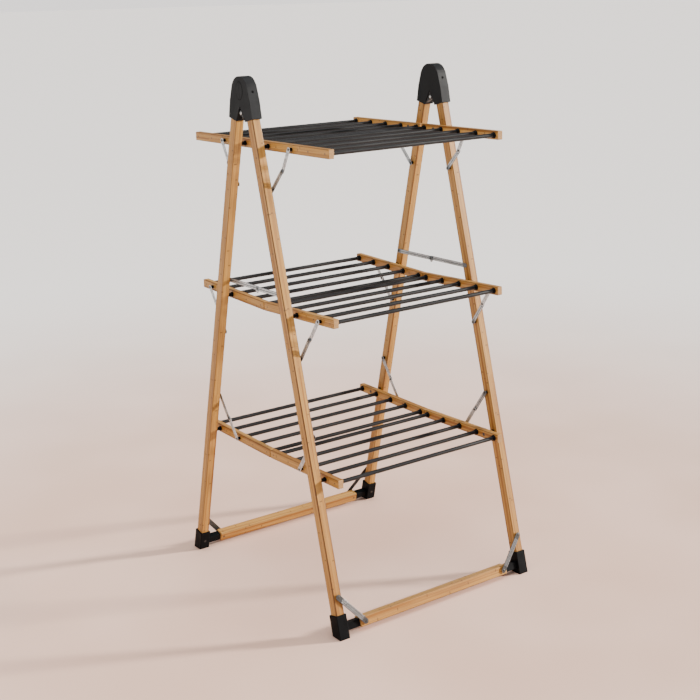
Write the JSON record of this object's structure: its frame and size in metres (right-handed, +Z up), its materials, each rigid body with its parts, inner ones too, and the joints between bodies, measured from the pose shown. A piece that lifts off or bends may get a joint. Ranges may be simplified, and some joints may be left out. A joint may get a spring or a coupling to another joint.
{
  "type": "folding drying rack",
  "caption": "Free-standing bamboo A-frame airer with tiers of black rods, steel stays and plastic caps and feet; folds flat.",
  "frame": {"origin": "centre of the footprint on the floor, at the open position", "axes": "+Z up, X along the rods, -Y the front legs, +Y the back legs"},
  "size_m": [0.649, 0.7516, 1.4],
  "materials": {
    "bamboo": "satin",
    "shelf_rods": "satin",
    "black_plastic": "matte",
    "zinc_steel": "satin"
  },
  "bodies": {
    "front_frame": {"front_left_leg": "bamboo", "front_left_foot": "black_plastic", "front_left_brace": "zinc_steel", "front_right_leg": "bamboo", "front_right_foot": "black_plastic", "front_right_brace": "zinc_steel", "front_cross_bar": "bamboo", "left_front_cap": "black_plastic", "right_front_cap": "black_plastic", "left_cap_rivet": "zinc_steel", "right_cap_rivet": "zinc_steel"},
    "back_frame": {"back_left_leg": "bamboo", "back_left_foot": "black_plastic", "back_left_brace": "zinc_steel", "back_right_leg": "bamboo", "back_right_foot": "black_plastic", "back_right_brace": "zinc_steel", "back_cross_bar": "bamboo", "left_back_cap": "black_plastic", "right_back_cap": "black_plastic"},
    "top_front_shelf": {"top_front_shelf": "shelf_rods"},
    "top_front_rail_links": {"top_front_left_rail_link": "zinc_steel", "top_front_right_rail_link": "zinc_steel"},
    "top_front_leg_links": {"top_front_left_leg_link": "zinc_steel", "top_front_right_leg_link": "zinc_steel"},
    "top_back_shelf": {"top_back_shelf": "shelf_rods"},
    "top_back_rail_links": {"top_back_left_rail_link": "zinc_steel", "top_back_right_rail_link": "zinc_steel"},
    "top_back_leg_links": {"top_back_left_leg_link": "zinc_steel", "top_back_right_leg_link": "zinc_steel"},
    "middle_front_shelf": {"middle_front_shelf": "shelf_rods"},
    "middle_front_rail_links": {"middle_front_left_rail_link": "zinc_steel", "middle_front_right_rail_link": "zinc_steel"},
    "middle_front_leg_links": {"middle_front_left_leg_link": "zinc_steel", "middle_front_right_leg_link": "zinc_steel"},
    "middle_back_shelf": {"middle_back_shelf": "shelf_rods"},
    "middle_back_rail_links": {"middle_back_left_rail_link": "zinc_steel", "middle_back_right_rail_link": "zinc_steel"},
    "middle_back_leg_links": {"middle_back_left_leg_link": "zinc_steel", "middle_back_right_leg_link": "zinc_steel"},
    "bottom_front_shelf": {"bottom_front_shelf": "shelf_rods"},
    "bottom_front_rail_links": {"bottom_front_left_rail_link": "zinc_steel", "bottom_front_right_rail_link": "zinc_steel"},
    "bottom_front_leg_links": {"bottom_front_left_leg_link": "zinc_steel", "bottom_front_right_leg_link": "zinc_steel"},
    "bottom_back_shelf": {"bottom_back_shelf": "shelf_rods"},
    "bottom_back_rail_links": {"bottom_back_left_rail_link": "zinc_steel", "bottom_back_right_rail_link": "zinc_steel"},
    "bottom_back_leg_links": {"bottom_back_left_leg_link": "zinc_steel", "bottom_back_right_leg_link": "zinc_steel"},
    "front_spreader": {"left_front_spreader": "zinc_steel", "right_front_spreader": "zinc_steel"},
    "back_spreader": {"left_back_spreader": "zinc_steel", "right_back_spreader": "zinc_steel"}
  },
  "joints": [
    {"name": "leg_fold", "type": "hinge", "parent": "front_frame", "child": "back_frame", "pos_m": [0, 0, 1.308], "axis": [-1, 0, 0], "range_deg": [0, 27.8]},
    {"name": "top_front_shelf_fold", "type": "hinge", "parent": "front_frame", "child": "top_front_shelf", "pos_m": [0, -0.05528, 1.2245], "axis": [1, 0, 0], "range_deg": [0, 76.12]},
    {"name": "top_front_rail_link_fold", "type": "hinge", "parent": "top_front_shelf", "child": "top_front_rail_links", "pos_m": [0, -0.16028, 1.2245], "axis": [1, 0, 0], "range_deg": [0, 62.18]},
    {"name": "top_front_leg_link_fold", "type": "hinge", "parent": "front_frame", "child": "top_front_leg_links", "pos_m": [0, -0.08218, 1.11578], "axis": [-1, 0, 0], "range_deg": [0, 56.68]},
    {"name": "top_back_shelf_fold", "type": "hinge", "parent": "back_frame", "child": "top_back_shelf", "pos_m": [0, 0.05528, 1.2245], "axis": [-1, 0, 0], "range_deg": [0, 76.12]},
    {"name": "top_back_rail_link_fold", "type": "hinge", "parent": "top_back_shelf", "child": "top_back_rail_links", "pos_m": [0, 0.16028, 1.2245], "axis": [-1, 0, 0], "range_deg": [0, 62.18]},
    {"name": "top_back_leg_link_fold", "type": "hinge", "parent": "back_frame", "child": "top_back_leg_links", "pos_m": [0, 0.08218, 1.11578], "axis": [1, 0, 0], "range_deg": [0, 56.68]},
    {"name": "middle_front_shelf_fold", "type": "hinge", "parent": "front_frame", "child": "middle_front_shelf", "pos_m": [0, -0.15946, 0.8035], "axis": [1, 0, 0], "range_deg": [0, 78.02]},
    {"name": "middle_front_rail_link_fold", "type": "hinge", "parent": "middle_front_shelf", "child": "middle_front_rail_links", "pos_m": [0, -0.26441, 0.80698], "axis": [1, 0, 0], "range_deg": [0, 53.3]},
    {"name": "middle_front_leg_link_fold", "type": "hinge", "parent": "front_frame", "child": "middle_front_leg_links", "pos_m": [0, -0.18637, 0.69478], "axis": [-1, 0, 0], "range_deg": [0, 48.74]},
    {"name": "middle_back_shelf_fold", "type": "hinge", "parent": "middle_front_shelf", "child": "middle_back_shelf", "pos_m": [0, 0, 0.76459], "axis": [-1, 0, 0], "range_deg": [0, 183.82]},
    {"name": "middle_back_rail_link_fold", "type": "hinge", "parent": "middle_back_shelf", "child": "middle_back_rail_links", "pos_m": [0, 0.26441, 0.80698], "axis": [-1, 0, 0], "range_deg": [0, 53.3]},
    {"name": "middle_back_leg_link_fold", "type": "hinge", "parent": "back_frame", "child": "middle_back_leg_links", "pos_m": [0, 0.18637, 0.69478], "axis": [1, 0, 0], "range_deg": [0, 48.74]},
    {"name": "bottom_front_shelf_fold", "type": "hinge", "parent": "front_frame", "child": "bottom_front_shelf", "pos_m": [0, -0.26155, 0.391], "axis": [1, 0, 0], "range_deg": [0, 77.12]},
    {"name": "bottom_front_rail_link_fold", "type": "hinge", "parent": "bottom_front_shelf", "child": "bottom_front_rail_links", "pos_m": [0, -0.15656, 0.38917], "axis": [1, 0, 0], "range_deg": [0, 53.79]},
    {"name": "bottom_front_leg_link_fold", "type": "hinge", "parent": "front_frame", "child": "bottom_front_leg_links", "pos_m": [0, -0.23464, 0.49972], "axis": [-1, 0, 0], "range_deg": [0, 49.15]},
    {"name": "bottom_back_shelf_fold", "type": "hinge", "parent": "bottom_front_shelf", "child": "bottom_back_shelf", "pos_m": [0, 0, 0.35283], "axis": [-1, 0, 0], "range_deg": [0, 182.02]},
    {"name": "bottom_back_rail_link_fold", "type": "hinge", "parent": "bottom_back_shelf", "child": "bottom_back_rail_links", "pos_m": [0, 0.15656, 0.38917], "axis": [-1, 0, 0], "range_deg": [0, 53.79]},
    {"name": "bottom_back_leg_link_fold", "type": "hinge", "parent": "back_frame", "child": "bottom_back_leg_links", "pos_m": [0, 0.23464, 0.49972], "axis": [1, 0, 0], "range_deg": [0, 49.15]},
    {"name": "front_spreader_fold", "type": "hinge", "parent": "front_frame", "child": "front_spreader", "pos_m": [0, -0.14821, 0.849], "axis": [1, 0, 0], "range_deg": [0, 63.02]},
    {"name": "back_spreader_fold", "type": "hinge", "parent": "back_frame", "child": "back_spreader", "pos_m": [0, 0.14821, 0.849], "axis": [-1, 0, 0], "range_deg": [0, 63.02]}
  ],
  "couplings": [
    {"joint": "top_front_shelf_fold", "follows": "leg_fold", "ratio": 2.7374},
    {"joint": "top_front_rail_link_fold", "follows": "leg_fold", "ratio": 2.2358},
    {"joint": "top_front_leg_link_fold", "follows": "leg_fold", "ratio": 2.0381},
    {"joint": "top_back_shelf_fold", "follows": "leg_fold", "ratio": 2.7374},
    {"joint": "top_back_rail_link_fold", "follows": "leg_fold", "ratio": 2.2358},
    {"joint": "top_back_leg_link_fold", "follows": "leg_fold", "ratio": 2.0381},
    {"joint": "middle_front_shelf_fold", "follows": "leg_fold", "ratio": 2.8058},
    {"joint": "middle_front_rail_link_fold", "follows": "leg_fold", "ratio": 1.9166},
    {"joint": "middle_front_leg_link_fold", "follows": "leg_fold", "ratio": 1.7525},
    {"joint": "middle_back_shelf_fold", "follows": "leg_fold", "ratio": 6.6115},
    {"joint": "middle_back_rail_link_fold", "follows": "leg_fold", "ratio": 1.9166},
    {"joint": "middle_back_leg_link_fold", "follows": "leg_fold", "ratio": 1.7525},
    {"joint": "bottom_front_shelf_fold", "follows": "leg_fold", "ratio": 2.7734},
    {"joint": "bottom_front_rail_link_fold", "follows": "leg_fold", "ratio": 1.9341},
    {"joint": "bottom_front_leg_link_fold", "follows": "leg_fold", "ratio": 1.7673},
    {"joint": "bottom_back_shelf_fold", "follows": "leg_fold", "ratio": 6.5468},
    {"joint": "bottom_back_rail_link_fold", "follows": "leg_fold", "ratio": 1.9341},
    {"joint": "bottom_back_leg_link_fold", "follows": "leg_fold", "ratio": 1.7673},
    {"joint": "front_spreader_fold", "follows": "leg_fold", "ratio": 2.2661},
    {"joint": "back_spreader_fold", "follows": "leg_fold", "ratio": 2.2661}
  ]
}
